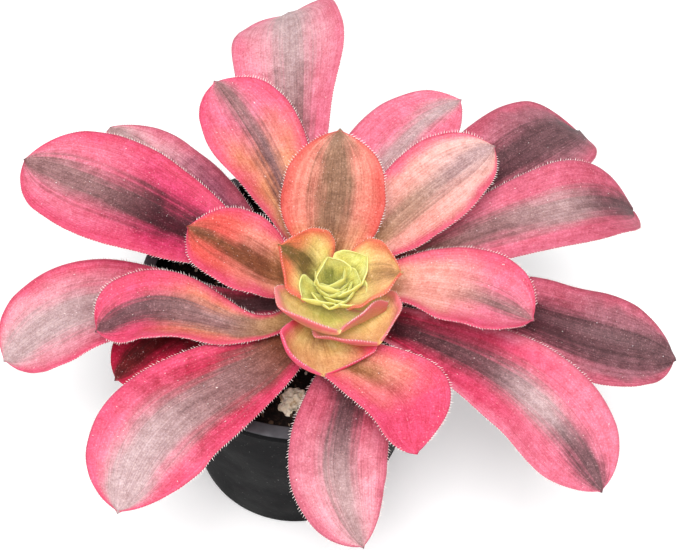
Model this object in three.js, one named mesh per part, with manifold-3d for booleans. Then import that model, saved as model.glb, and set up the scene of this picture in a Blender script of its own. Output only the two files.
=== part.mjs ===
// Potted aeonium: fleshy fringed leaves in a rosette on a short leaning stem, in a round nursery pot.
// Millimetres, +Z up. The origin is the middle of the pot's base, and -Y is the front.
import * as THREE from "three";
import { mergeVertices } from "three/addons/utils/BufferGeometryUtils.js";
import Module from "manifold-3d";

const wasm = await Module();
wasm.setup();

// Clearance between pieces that touch
const GAP = 0.3;

// Pot: a tapered plastic shell with a flat turned-out rim
const POT_HEIGHT = 92;
const RIM_RADIUS = 50;
const RIM_OVERHANG = 2.4;
const RIM_DEPTH = 4;
const FOOT_RADIUS = 35;
const FOOT_ROUNDING = 1.6;
const POT_WALL = 1.4;
const POT_FLOOR = 1.6;
const POT_SIDES = 40;
const DRAIN_HOLES = 8;
const DRAIN_RADIUS = 3;

// Soil: fills the pot to below the rim, with a crumbly top
const SOIL_LEVEL = POT_HEIGHT - 9;
const SOIL_LUMP = 0.9;
const SOIL_RINGS = 6;
const SOIL_SIDES = 28;

// Pumice stones half sunk in the soil: place, breadth
const PUMICE = [
  { at: [1, -33], breadth: 9 },
  { at: [24, -27], breadth: 5 },
  { at: [-29, 16], breadth: 6 },
  { at: [12, 32], breadth: 7 },
  { at: [36, 8], breadth: 5 },
];

// Stem: rooted upright, then leaning to the right and the front. These are a Bezier curve's four points.
const STEM_PATH = [[0, 0, 50], [0, 0, 98], [6, -8, 103], [9, -16, 116.5]];
const STEM_FOOT_RADIUS = 5.5;
const STEM_RADIUS = 7;
const STEM_TIP_RADIUS = 4.5;
const STEM_SIDES = 14;
const STEM_STEPS = 14;

// Leaves: the youngest grows from the highest place on the stem, and each older one lower
const YOUNGEST_LEAF_HEIGHT = 114.5;
const LEAF_SPACING = 1;
const LEAF_ROOT_DEPTH = 3;
const LEAF_COLUMNS = 6;
const ROOT_THICKNESS = 2.6;
const TIP_THICKNESS = 1;
const MARGIN_THICKNESS = 0.8;
const ROOT_CUP = 38;

// Half breadth along the leaf, as [share of length, share of widest half breadth].
// A young leaf is egg-shaped with a broad root, an old one is spoon-shaped with a narrow one.
const YOUNG_OUTLINE = [
  [0, 0.42], [0.12, 0.43], [0.3, 0.7], [0.45, 0.94], [0.58, 1], [0.73, 0.91], [0.85, 0.69],
  [0.925, 0.44], [0.97, 0.22], [1, 0.03],
];
const OLD_OUTLINE = [
  [0, 0.27], [0.12, 0.24], [0.3, 0.38], [0.5, 0.7], [0.65, 0.92], [0.77, 1], [0.87, 0.9],
  [0.93, 0.7], [0.97, 0.44], [0.99, 0.22], [1, 0.04],
];
// Places of the cross-sections along a leaf, closer where its outline turns
const LEAF_SECTIONS = [0, 0.12, 0.27, 0.41, 0.53, 0.64, 0.73, 0.81, 0.88, 0.935, 0.97, 0.99, 1];
const HEART_SECTIONS = [0, 0.2, 0.4, 0.6, 0.78, 0.9, 0.97, 1];
const OLDEST_EGG_SHAPED = 4;
const YOUNGEST_SPOON_SHAPED = 13;

// The leaves from the youngest to the oldest, each with
//   tip    the place of its tip
//   width  its widest breadth
//   arch   rise of the midrib above the straight line from root to tip
//   sway   bow of the midrib to the left, seen from the stem
//   wave   S-shaped wander of the midrib, first to the left
//   curl   extra rise before the end of the blade rolls under
//   cup    half angle of the channel across the blade, in degrees
//   roll   turn about the midrib that lifts the left margin, in degrees
//   square share by which its breadth stays square to its chord, not to its midrib
//   spoon  how spoon-shaped it is, where that isn't what its age gives: 0 for an egg, 1 for a spoon
const LEAVES = [
  { tip: [-6, -12, 131], width: 22, arch: 2, sway: 0, cup: 38, roll: -10, spoon: -0.3 },
  { tip: [27, -17, 131], width: 22, arch: 2, cup: 38, roll: 10 },
  { tip: [12, -35, 127], width: 35, arch: -1, sway: -2, cup: 50, roll: -13 },
  { tip: [23, -34, 122], width: 28, arch: -1, cup: 42 },
  { tip: [9, -41, 114], width: 31, arch: 0, sway: -2, cup: 58, roll: -19, spoon: 1.4 },
  { tip: [7, 19, 145], width: 30, arch: 3, cup: 25 },
  { tip: [-32, -7, 129], width: 27, arch: 4, sway: 3, cup: 22 },
  { tip: [65, -20, 119], width: 28, arch: 5, sway: 4, cup: 36, spoon: 0.7 },
  { tip: [51, 26, 137], width: 29, arch: 4, sway: 1, cup: 20 },
  { tip: [-55, -31, 109], width: 23, arch: 5, sway: 6, wave: 6, cup: 30, spoon: 1.2 },
  { tip: [35, -61, 113], width: 26, arch: 3, sway: -1.5, wave: -6, cup: 20, spoon: 0.4, square: 1 },
  { tip: [-31, 41, 137], width: 29, arch: 5, sway: -3, cup: 15 },
  { tip: [42, 51, 129], width: 28, arch: 5, sway: 7, cup: 15, spoon: 0.3 },
  { tip: [-84, 17, 122], width: 39, arch: 6, sway: 1, cup: 15, spoon: 0.7 },
  { tip: [-40, -82, 105], width: 34, arch: 6, wave: 5, cup: 12, spoon: 0.6 },
  { tip: [97, 26, 115], width: 30, arch: 6, sway: -2, curl: 14, cup: 15 },
  { tip: [88, -58, 95], width: 33, arch: 7, sway: 8, wave: -2, cup: 15, spoon: 0.7 },
  { tip: [-14, 86, 125], width: 36, arch: 6, sway: 2.5, curl: 13, cup: 25, roll: -20 },
  { tip: [82, 58, 113], width: 34, arch: 6, sway: -2, curl: 12, cup: 10 },
  { tip: [24, -78, 88], width: 28, arch: 7, sway: 2, wave: 5, cup: 2, spoon: 0.4 },
  { tip: [-85, -30, 86], width: 33, arch: 11, sway: -3, wave: 4, cup: 15 },
  { tip: [-68, 53, 99], width: 30, arch: 6, sway: 4, cup: 10, spoon: 0.2 },
  { tip: [112, -13, 95], width: 33, arch: 6, sway: 5, wave: 3, cup: 5 },
  { tip: [-51, -35, 90], width: 24, arch: 10, sway: -3, cup: 5 },
];

// Heart: the growing point with its smallest leaves, each a golden angle on from the one outside it
const HEART_LEAVES = 11;
const HEART_FIRST_HEADING = 62;
const GOLDEN_ANGLE = 137.5;
const HEART_LENGTH = [13.5, 6.5];
const HEART_WIDTH = [15, 9];
const HEART_RISE = [40, 78];
const HEART_FIRST_CLIMB = 1;
const HEART_CLIMB = 2;
const HEART_CORE_RADIUS = 4;
const HEART_CORE_HEIGHT = 4.5;
const HEART_COLUMNS = 4;

const black_plastic = () =>
  new THREE.MeshStandardMaterial({ color: 0x1c1c1e, roughness: 0.45, metalness: 0 });
const dark_soil = () => new THREE.MeshStandardMaterial({ color: 0x17120f, roughness: 0.95, metalness: 0 });
const cream_stone = () => new THREE.MeshStandardMaterial({ color: 0xd8bd98, roughness: 0.9, metalness: 0 });
const woody_skin = () => new THREE.MeshStandardMaterial({ color: 0x6b5440, roughness: 0.8, metalness: 0 });
const leaf_skin = (color) => new THREE.MeshStandardMaterial({ color, roughness: 0.55, metalness: 0 });
const HEART_COLOR = 0xd9d67c;
const YOUNG_COLOR = 0xe3a873;
const MIDDLE_COLOR = 0xe0705f;
const OLD_COLOR = 0xc45468;

const vec = (p) => new THREE.Vector3(...p);
const UP = new THREE.Vector3(0, 0, 1);
const radians = THREE.MathUtils.degToRad;
const { lerp, clamp, smoothstep } = THREE.MathUtils;

// Value of a smooth line through a few points, flat at its peaks
function along(points, x) {
  const slope = (i) => (points[i + 1][1] - points[i][1]) / (points[i + 1][0] - points[i][0]);
  const last = points.length - 1;
  const lean = (i) => {
    if (i === 0 || i === last) return slope(Math.min(i, last - 1));
    const before = slope(i - 1);
    const after = slope(i);
    return before * after <= 0 ? 0 : (2 * before * after) / (before + after);
  };
  let i = 0;
  while (i < last - 1 && x >= points[i + 1][0]) i += 1;
  const step = points[i + 1][0] - points[i][0];
  const t = (x - points[i][0]) / step;
  const from = (1 + 2 * t) * (1 - t) ** 2 * points[i][1] + t * (1 - t) ** 2 * step * lean(i);
  const to = t * t * (3 - 2 * t) * points[i + 1][1] + t * t * (t - 1) * step * lean(i + 1);
  return from + to;
}

function solid(geometry) {
  const bare = geometry.clone();
  bare.deleteAttribute("normal");
  bare.deleteAttribute("uv");
  const merged = mergeVertices(bare, 1e-4);
  return new wasm.Manifold(new wasm.Mesh({
    numProp: 3,
    vertProperties: new Float32Array(merged.attributes.position.array),
    triVerts: new Uint32Array(merged.index.array),
  }));
}

function geometryOf(manifold) {
  const mesh = manifold.getMesh();
  const geometry = new THREE.BufferGeometry();
  geometry.setAttribute("position", new THREE.BufferAttribute(mesh.vertProperties, 3));
  geometry.setIndex(new THREE.BufferAttribute(mesh.triVerts, 1));
  return geometry;
}

function piece(name, geometry, material) {
  geometry.computeVertexNormals();
  const mesh = new THREE.Mesh(geometry, material);
  mesh.name = name;
  return mesh;
}

// Closed body from rings of equal length, first to last, with a middle point closing each end
function loft(rings) {
  const count = rings[0].length;
  const middle = (ring) => ring.reduce((sum, p) => sum.add(p), new THREE.Vector3()).divideScalar(count);
  const points = [...rings.flat(), middle(rings[0]), middle(rings.at(-1))];
  const start = count * rings.length;
  const index = [];
  for (let k = 0; k < count; k += 1) {
    const next = (k + 1) % count;
    index.push(start, next, k);
    for (let r = 0; r + 1 < rings.length; r += 1) {
      const a = r * count;
      const b = a + count;
      index.push(a + k, a + next, b + next, a + k, b + next, b + k);
    }
    const top = count * (rings.length - 1);
    index.push(start + 1, top + k, top + next);
  }
  const geometry = new THREE.BufferGeometry().setFromPoints(points);
  geometry.setIndex(index);
  return geometry;
}

const stemCurve = new THREE.CubicBezierCurve3(...STEM_PATH.map(vec));

// The stem's axis at a height, found by halving
function stemAxisAt(height) {
  let low = 0;
  let high = 1;
  for (let n = 0; n < 30; n += 1) {
    const middle = (low + high) / 2;
    if (stemCurve.getPoint(middle).z < height) low = middle;
    else high = middle;
  }
  return stemCurve.getPoint(low);
}

function stemGeometry(growth = 0) {
  const rings = [];
  for (let i = 0; i <= STEM_STEPS; i += 1) {
    const t = i / STEM_STEPS;
    const centre = stemCurve.getPoint(t);
    const ahead = stemCurve.getTangent(t);
    if (i === 0) centre.addScaledVector(ahead, -growth);
    if (i === STEM_STEPS) centre.addScaledVector(ahead, growth);
    const across = new THREE.Vector3(1, 0, 0).addScaledVector(ahead, -ahead.x).normalize();
    const beside = new THREE.Vector3().crossVectors(ahead, across);
    const swell = lerp(STEM_FOOT_RADIUS, STEM_RADIUS, smoothstep(t, 0, 0.5));
    const radius = lerp(swell, STEM_TIP_RADIUS, smoothstep(t, 0.6, 1)) + growth;
    const ring = [];
    for (let k = 0; k < STEM_SIDES; k += 1) {
      const turn = (2 * Math.PI * k) / STEM_SIDES;
      ring.push(centre.clone().addScaledVector(across, radius * Math.cos(turn))
        .addScaledVector(beside, radius * Math.sin(turn)));
    }
    rings.push(ring);
  }
  return loft(rings);
}

// The line of a leaf's midrib from its root inside the stem to its tip
class Midrib extends THREE.Curve {
  constructor(root, tip, { arch = 0, sway = 0, wave = 0, curl = 0 }) {
    super();
    const chord = tip.clone().sub(root);
    this.chord = chord.clone().normalize();
    this.left = new THREE.Vector3().crossVectors(UP, chord).normalize();
    this.above = new THREE.Vector3().crossVectors(chord, this.left).normalize();
    const middle = root.clone().add(tip).divideScalar(2);
    middle.addScaledVector(this.above, 2 * arch).addScaledVector(this.left, 2 * sway);
    this.bow = new THREE.QuadraticBezierCurve3(root, middle, tip);
    this.wave = wave;
    this.curl = curl;
  }

  getPoint(t, target = new THREE.Vector3()) {
    this.bow.getPoint(t, target);
    target.addScaledVector(this.above, this.curl * (t - t ** 9));
    return target.addScaledVector(this.left, this.wave * Math.sin(2 * Math.PI * t));
  }
}

// A fleshy blade about its midrib: a channel-shaped upper face and a lower face one thickness below it.
// Growth swells it on every side, for the space that it needs beside its neighbours.
function leafGeometry(leaf, growth = 0) {
  const { root, age, width, cup, roll = 0, square = 0, thin = 1 } = leaf;
  const { sections = LEAF_SECTIONS, columns = LEAF_COLUMNS } = leaf;
  const midrib = new Midrib(root, vec(leaf.tip), leaf);
  const upper = [];
  const lower = [];
  for (const s of sections) {
    const centre = midrib.getPointAt(s);
    const ahead = midrib.getTangentAt(s).lerp(midrib.chord, square).normalize();
    if (s === 0) centre.addScaledVector(ahead, -growth);
    if (s === 1) centre.addScaledVector(ahead, growth);
    const left = new THREE.Vector3().crossVectors(UP, ahead).normalize().applyAxisAngle(ahead, radians(roll));
    const above = new THREE.Vector3().crossVectors(ahead, left);
    const half = growth + (width / 2) * lerp(along(YOUNG_OUTLINE, s), along(OLD_OUTLINE, s), age);
    const bend = radians(lerp(ROOT_CUP, cup, smoothstep(s, 0.05, 0.6)));
    const rib = thin * lerp(ROOT_THICKNESS, TIP_THICKNESS, s);
    for (let j = 0; j <= columns; j += 1) {
      const u = (2 * j) / columns - 1;
      const sideways = (half * Math.sin(bend * u)) / bend;
      const lift = (half * (1 - Math.cos(bend * u))) / bend;
      const point = centre.clone().addScaledVector(left, sideways).addScaledVector(above, lift);
      const out = above.clone().applyAxisAngle(ahead, bend * u);
      const thickness = lerp(rib, MARGIN_THICKNESS * thin, Math.abs(u) ** 1.6);
      lower.push(point.clone().addScaledVector(out, -thickness - growth));
      upper.push(point.addScaledVector(out, growth));
    }
  }
  return bladeFrom(upper, lower, sections.length - 1, columns);
}

// Joins two grids of points into a closed blade, split alike on both faces
function bladeFrom(upper, lower, rows, columns) {
  const across = columns + 1;
  const under = upper.length;
  const index = [];
  const quad = (a, b, c, d) => index.push(a, b, c, a, c, d);
  for (let i = 0; i < rows; i += 1) {
    for (let j = 0; j < columns; j += 1) {
      const a = i * across + j;
      const b = a + 1;
      const c = b + across;
      const d = a + across;
      if (j < columns / 2) {
        quad(a, d, c, b);
        quad(under + c, under + d, under + a, under + b);
      } else {
        quad(b, a, d, c);
        quad(under + d, under + a, under + b, under + c);
      }
    }
    const left = i * across;
    const right = left + columns;
    quad(left, under + left, under + left + across, left + across);
    quad(right, right + across, under + right + across, under + right);
  }
  const end = rows * across;
  for (let j = 0; j < columns; j += 1) {
    quad(j, j + 1, under + j + 1, under + j);
    quad(end + j, under + end + j, under + end + j + 1, end + j + 1);
  }
  const geometry = new THREE.BufferGeometry().setFromPoints([...upper, ...lower]);
  geometry.setIndex(index);
  return geometry;
}

function makePot() {
  const shoulder = POT_HEIGHT - RIM_DEPTH;
  const wallTop = RIM_RADIUS - RIM_OVERHANG;
  const edge = 0.6;
  const profile = [
    [0, 0], [FOOT_RADIUS - FOOT_ROUNDING, 0], [FOOT_RADIUS - 0.3 * FOOT_ROUNDING, 0.3 * FOOT_ROUNDING],
    [FOOT_RADIUS, FOOT_ROUNDING], [wallTop, shoulder], [RIM_RADIUS - edge, shoulder + edge],
    [RIM_RADIUS, shoulder + 2 * edge], [RIM_RADIUS, POT_HEIGHT - edge], [RIM_RADIUS - edge, POT_HEIGHT],
    [wallTop - POT_WALL, POT_HEIGHT], [FOOT_RADIUS - POT_WALL, POT_FLOOR], [0, POT_FLOOR],
  ].map(([r, z]) => new THREE.Vector2(r, z));
  let shell = solid(new THREE.LatheGeometry(profile, POT_SIDES).rotateX(Math.PI / 2));
  for (let k = 0; k < DRAIN_HOLES; k += 1) {
    const turn = (2 * Math.PI * k) / DRAIN_HOLES;
    const reach = FOOT_RADIUS - POT_WALL - 2 * DRAIN_RADIUS;
    const drill = new THREE.CylinderGeometry(DRAIN_RADIUS, DRAIN_RADIUS, 4 * POT_FLOOR, 12);
    drill.rotateX(Math.PI / 2);
    shell = shell.subtract(solid(drill.translate(reach * Math.cos(turn), reach * Math.sin(turn), 0)));
  }
  return piece("pot", geometryOf(shell), black_plastic());
}

// Inner radius of the pot at a height
function potInnerRadius(height) {
  const top = RIM_RADIUS - RIM_OVERHANG - POT_WALL;
  return lerp(FOOT_RADIUS - POT_WALL, top, (height - POT_FLOOR) / (POT_HEIGHT - POT_FLOOR));
}

// Height of the crumbly soil, lowest along the pot's wall
function soilHeight(x, y) {
  const lumps = Math.sin(0.55 * x + 1.3) * Math.cos(0.48 * y) + 0.7 * Math.sin(0.9 * y + 0.4 * x + 2);
  return SOIL_LEVEL + SOIL_LUMP * lumps - 1.2 * (Math.hypot(x, y) / RIM_RADIUS) ** 4;
}

function pumiceGeometry({ at, breadth }, growth = 0) {
  const geometry = new THREE.IcosahedronGeometry(breadth / 2, 1);
  const place = geometry.attributes.position;
  for (let k = 0; k < place.count; k += 1) {
    const p = new THREE.Vector3().fromBufferAttribute(place, k);
    const dent = 1 + 0.16 * Math.sin(1.7 * p.x + at[0]) * Math.cos(1.9 * p.y + at[1])
      + 0.1 * Math.sin(2.3 * p.z);
    p.multiplyScalar(dent * (1 + (3 * growth) / breadth));
    place.setXYZ(k, p.x, p.y, 0.75 * p.z);
  }
  return geometry.translate(at[0], at[1], soilHeight(...at) + 0.1 * breadth);
}

function makeSoil() {
  const floor = POT_FLOOR + GAP;
  const brim = potInnerRadius(SOIL_LEVEL) - 2 * GAP;
  const points = [new THREE.Vector3(0, 0, soilHeight(0, 0))];
  const index = [];
  for (let r = 1; r <= SOIL_RINGS + 1; r += 1) {
    for (let k = 0; k < SOIL_SIDES; k += 1) {
      const turn = (2 * Math.PI * k) / SOIL_SIDES;
      const radius = r > SOIL_RINGS ? potInnerRadius(floor) - 2 * GAP : (brim * r) / SOIL_RINGS;
      const x = radius * Math.cos(turn);
      const y = radius * Math.sin(turn);
      points.push(new THREE.Vector3(x, y, r > SOIL_RINGS ? floor : soilHeight(x, y)));
      const next = (k + 1) % SOIL_SIDES;
      const ring = 1 + (r - 1) * SOIL_SIDES;
      if (r === 1) index.push(0, 1 + k, 1 + next);
      if (r <= SOIL_RINGS) {
        const out = ring + SOIL_SIDES;
        index.push(ring + k, out + k, out + next, ring + k, out + next, ring + next);
      } else {
        index.push(1 + (SOIL_RINGS + 1) * SOIL_SIDES, ring + next, ring + k);
      }
    }
  }
  points.push(new THREE.Vector3(0, 0, floor));
  const geometry = new THREE.BufferGeometry().setFromPoints(points);
  geometry.setIndex(index);
  let bed = solid(geometry).subtract(solid(stemGeometry(GAP)));
  for (const stone of PUMICE) bed = bed.subtract(solid(pumiceGeometry(stone, GAP)));
  return piece("soil", geometryOf(bed), dark_soil());
}

// The root end of a leaf lies inside the stem, where the stem then cuts it off
function leafRoot(order, tip) {
  const axis = stemAxisAt(YOUNGEST_LEAF_HEIGHT - order * LEAF_SPACING);
  const out = tip.clone().sub(axis).setZ(0).normalize();
  return axis.addScaledVector(out, LEAF_ROOT_DEPTH);
}

// Every leaf with its root on the stem and its age from 0, egg-shaped, to 1, spoon-shaped.
const leaves = LEAVES.map((leaf, order) => ({
  ...leaf,
  root: leafRoot(order, vec(leaf.tip)),
  age: leaf.spoon ?? clamp((order - OLDEST_EGG_SHAPED) / (YOUNGEST_SPOON_SHAPED - OLDEST_EGG_SHAPED), 0, 1),
}));

// The largest body left when the space of its neighbours is cut from a piece
function cutClear(body, spaces) {
  let rest = body;
  for (const space of spaces) rest = rest.subtract(space);
  return rest.decompose().sort((a, b) => b.volume() - a.volume())[0];
}

// At the crowded roots an older leaf gives way to the younger ones above it
function makeLeaves() {
  const spaces = [solid(stemGeometry(GAP))];
  return leaves.map((leaf, order) => {
    const blade = cutClear(solid(leafGeometry(leaf)), spaces);
    spaces.push(solid(leafGeometry(leaf, GAP)));
    const color = new THREE.Color(YOUNG_COLOR).lerp(new THREE.Color(MIDDLE_COLOR), clamp(order / 9, 0, 1));
    color.lerp(new THREE.Color(OLD_COLOR), clamp((order - 9) / 9, 0, 1));
    return piece(`leaf_${String(order + 1).padStart(2, "0")}`, geometryOf(blade), leaf_skin(color));
  });
}

function heartLeafGeometry(seat, lean, k) {
  const share = k / (HEART_LEAVES - 1);
  const heading = radians(HEART_FIRST_HEADING + k * GOLDEN_ANGLE);
  const rise = radians(lerp(...HEART_RISE, share));
  const length = lerp(...HEART_LENGTH, share);
  const out = new THREE.Vector3(Math.cos(heading), Math.sin(heading), 0);
  const climb = HEART_FIRST_CLIMB + HEART_CLIMB * share;
  const root = seat.clone().addScaledVector(lean, climb).addScaledVector(out, 1);
  const tip = root.clone().addScaledVector(out, length * Math.cos(rise));
  tip.addScaledVector(lean, length * Math.sin(rise));
  return leafGeometry({
    tip: tip.toArray(), root, age: 0, width: lerp(...HEART_WIDTH, share), arch: -0.06 * length, cup: 60,
    sections: HEART_SECTIONS, columns: HEART_COLUMNS, thin: 0.8,
  });
}

function makeHeart() {
  const lean = stemCurve.getTangent(1);
  const seat = stemCurve.getPoint(1).addScaledVector(lean, GAP);
  const core = new THREE.CylinderGeometry(HEART_CORE_RADIUS * 0.6, HEART_CORE_RADIUS, HEART_CORE_HEIGHT, 10);
  core.translate(0, HEART_CORE_HEIGHT / 2, 0);
  core.applyQuaternion(new THREE.Quaternion().setFromUnitVectors(new THREE.Vector3(0, 1, 0), lean));
  core.translate(seat.x, seat.y, seat.z);
  let heart = solid(core);
  for (let k = 0; k < HEART_LEAVES; k += 1) heart = heart.add(solid(heartLeafGeometry(seat, lean, k)));
  const spaces = [solid(stemGeometry(GAP)), ...leaves.map((leaf) => solid(leafGeometry(leaf, GAP)))];
  return piece("heart", geometryOf(cutClear(heart, spaces)), leaf_skin(HEART_COLOR));
}

const plant = new THREE.Group();
plant.add(makePot(), makeSoil());
PUMICE.forEach((stone, n) => {
  plant.add(piece(`pumice_${n + 1}`, geometryOf(solid(pumiceGeometry(stone))), cream_stone()));
});
plant.add(piece("stem", stemGeometry(), woody_skin()));
plant.add(...makeLeaves(), makeHeart());

export default plant;
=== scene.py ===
# %% [markdown]
# A potted aeonium: 24 fleshy leaves round a pale heart, on a short stem in a black nursery pot.
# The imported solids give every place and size. This script keeps them as a fixed frame and
# builds the living surface over them: fine leaf skins with stripes and hairs, a tight heart,
# crumbly soil, pumice and a moulded pot.

# %% The frame
import math
import bmesh
import bpy
import numpy as np
from mathutils import Matrix, Vector, noise


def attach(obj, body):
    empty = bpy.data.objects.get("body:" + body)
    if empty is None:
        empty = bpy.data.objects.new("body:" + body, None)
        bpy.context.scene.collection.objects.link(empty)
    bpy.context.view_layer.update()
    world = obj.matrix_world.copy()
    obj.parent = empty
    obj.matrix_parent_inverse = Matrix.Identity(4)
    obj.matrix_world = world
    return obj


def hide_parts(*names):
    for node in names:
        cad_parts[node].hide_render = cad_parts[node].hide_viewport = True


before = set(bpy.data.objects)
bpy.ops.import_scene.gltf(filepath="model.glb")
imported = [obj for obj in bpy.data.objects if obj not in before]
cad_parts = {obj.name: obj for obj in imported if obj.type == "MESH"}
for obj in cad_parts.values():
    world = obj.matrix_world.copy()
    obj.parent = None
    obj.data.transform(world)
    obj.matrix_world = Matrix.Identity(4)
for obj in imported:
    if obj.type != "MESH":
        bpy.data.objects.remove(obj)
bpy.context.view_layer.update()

MM = 0.001


def show(thing):
    bpy.context.scene.collection.objects.link(thing)


# %% [markdown]
# The camera stands where the photograph was taken from: in front of the plant and well above it,
# turned a little about its own line of sight. Its distance and lens were found from the pot's rim.

# %% Camera
PHOTO_WIDTH = 679
SENSOR_WIDTH = 36
FOCAL_LENGTH_PIXELS = 1200
ELEVATION = math.radians(54.5)
TURN = math.radians(5.5)
DISTANCE = 357 * MM
LOOKED_AT = Vector((10.7, 0, 103)) * MM

back = Vector((0, -math.cos(ELEVATION), math.sin(ELEVATION)))
level = Vector((1, 0, 0))
upward = back.cross(level)
right = level * math.cos(TURN) + upward * math.sin(TURN)
up = upward * math.cos(TURN) - level * math.sin(TURN)
camera = bpy.data.objects.new("camera", bpy.data.cameras.new("camera"))
camera.data.sensor_width = SENSOR_WIDTH
camera.data.lens = SENSOR_WIDTH * FOCAL_LENGTH_PIXELS / PHOTO_WIDTH
camera.data.clip_start = 0.01
axes = Matrix((right, up, back)).transposed().to_4x4()
camera.matrix_world = Matrix.Translation(LOOKED_AT + back * DISTANCE) @ axes
show(camera)
bpy.context.scene.camera = camera
print("lens in mm:", round(camera.data.lens, 1))

# %% [markdown]
# The light is an even dome with one large soft panel above and in front of the plant.
# It reaches into the heart, which the photograph shows bright, and lets the upper leaves shade
# the roots of the lower ones, which is where the photograph is dark.

# %% Light
DOME_STRENGTH = 0.56
PANEL_POWER = 11.5
PANEL_SIZE = 0.45
PANEL_PLACE = Vector((-0.05, -0.4, 1.05))

world = bpy.data.worlds.new("soft dome")
world.use_nodes = True
sky = world.node_tree.nodes["Background"].inputs
sky["Color"].default_value = (1, 1, 1, 1)
sky["Strength"].default_value = DOME_STRENGTH
bpy.context.scene.world = world
panel = bpy.data.objects.new("soft panel", bpy.data.lights.new("soft panel", "AREA"))
panel.data.size = PANEL_SIZE
panel.data.energy = PANEL_POWER
panel.location = PANEL_PLACE
panel.rotation_euler = (PANEL_PLACE - LOOKED_AT).to_track_quat("Z", "Y").to_euler()
show(panel)
bpy.context.scene.view_settings.view_transform = "Standard"
print("lights: a dome and a panel of", PANEL_POWER, "W")

# %% [markdown]
# Shader and geometry trees are easier to read as steps than as boxes and wires.
# This small helper adds one node a step, and takes a socket or a plain value for any input.

# %% Steps of a node tree
class Steps:
    def __init__(self, tree):
        self.tree = tree

    def connect(self, value, socket):
        """Links a socket to another, or gives it a plain value"""
        if isinstance(value, bpy.types.NodeSocket):
            self.tree.links.new(value, socket)
        else:
            socket.default_value = value

    def add(self, kind, inputs=None, **settings):
        node = self.tree.nodes.new(kind)
        for name, value in settings.items():
            setattr(node, name, value)
        for key, value in (inputs or {}).items():
            self.connect(value, node.inputs[key])
        return node

    def math(self, operation, a, b=0.0):
        return self.add("ShaderNodeMath", {0: a, 1: b}, operation=operation).outputs[0]

    def plus(self, a, b):
        return self.math("ADD", a, b)

    def minus(self, a, b):
        return self.math("SUBTRACT", a, b)

    def times(self, a, b):
        return self.math("MULTIPLY", a, b)

    def vector_math(self, operation, a, b):
        return self.add("ShaderNodeVectorMath", {0: a, 1: b}, operation=operation).outputs[0]

    def scaled(self, vector, factor):
        inputs = {0: vector, "Scale": factor}
        return self.add("ShaderNodeVectorMath", inputs, operation="SCALE").outputs[0]

    def fade(self, value, low, high, start=0.0, end=1.0):
        inputs = {0: value, 1: low, 2: high, 3: start, 4: end}
        return self.add("ShaderNodeMapRange", inputs, interpolation_type="SMOOTHSTEP").outputs[0]

    def mix(self, share, a, b, blend="MIX"):
        inputs = {0: share, 6: a, 7: b}
        return self.add("ShaderNodeMix", inputs, data_type="RGBA", blend_type=blend).outputs[2]

    def combine(self, x, y, z=0.0):
        return self.add("ShaderNodeCombineXYZ", {0: x, 1: y, 2: z}).outputs[0]

    def split(self, vector):
        return self.add("ShaderNodeSeparateXYZ", {0: vector}).outputs

    def noise(self, vector, scale, detail=2.0, roughness=0.5):
        inputs = {"Vector": vector, "Scale": scale, "Detail": detail, "Roughness": roughness}
        return self.add("ShaderNodeTexNoise", inputs).outputs[0]

    def ramp(self, value, stops):
        node = self.add("ShaderNodeValToRGB", {0: value})
        node.color_ramp.interpolation = "EASE"
        elements = node.color_ramp.elements
        while len(elements) < len(stops):
            elements.new(0.5)
        for element, (place, shade) in zip(elements, stops):
            element.position = place
            element.color = color(shade) if isinstance(shade, str) else shade
        return node.outputs[0]

    def spot(self):
        """Where on the whole object the shaded point is"""
        return self.add("ShaderNodeTexCoord").outputs["Object"]

    def random(self, low, high, seed):
        """A random number, or a random vector, for each point"""
        vector = isinstance(low, tuple)
        first = 0 if vector else 2
        node = self.add("FunctionNodeRandomValue", {first: low, first + 1: high, "Seed": seed},
                        data_type="FLOAT_VECTOR" if vector else "FLOAT")
        return node.outputs[0 if vector else 1]

    def copies(self, points, thing, **turn_and_scale):
        inputs = {"Points": points, "Instance": thing, **turn_and_scale}
        return self.add("GeometryNodeInstanceOnPoints", inputs).outputs[0]


def color(code, shade=1.0):
    """Linear colour of a web code, made lighter or darker by a factor"""
    parts = [int(code[k:k + 2], 16) / 255 for k in (1, 3, 5)]
    linear = [p / 12.92 if p <= 0.04045 else ((p + 0.055) / 1.055) ** 2.4 for p in parts]
    return (*[shade * p for p in linear], 1.0)


def grey(value):
    return (value, value, value, 1.0)


def start_material(name, roughness, specular):
    """An empty principled material and its steps"""
    material = bpy.data.materials.new(name)
    material.use_nodes = True
    steps = Steps(material.node_tree)
    shader = material.node_tree.nodes["Principled BSDF"]
    shader.inputs["Roughness"].default_value = roughness
    shader.inputs["Specular IOR Level"].default_value = specular
    return material, steps, shader


def link_bump(steps, shader, height, strength, depth):
    bump = steps.add("ShaderNodeBump", {"Height": height, "Strength": strength, "Distance": depth})
    steps.connect(bump.outputs[0], shader.inputs["Normal"])


print("helpers ready")

# %% [markdown]
# Every visible piece is a plain closed mesh at the origin, with its place in its points.
# This helper turns points in millimetres into such an object, turns its faces outwards by the
# sign of its volume, and keeps values for the material as attributes of its points.

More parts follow.
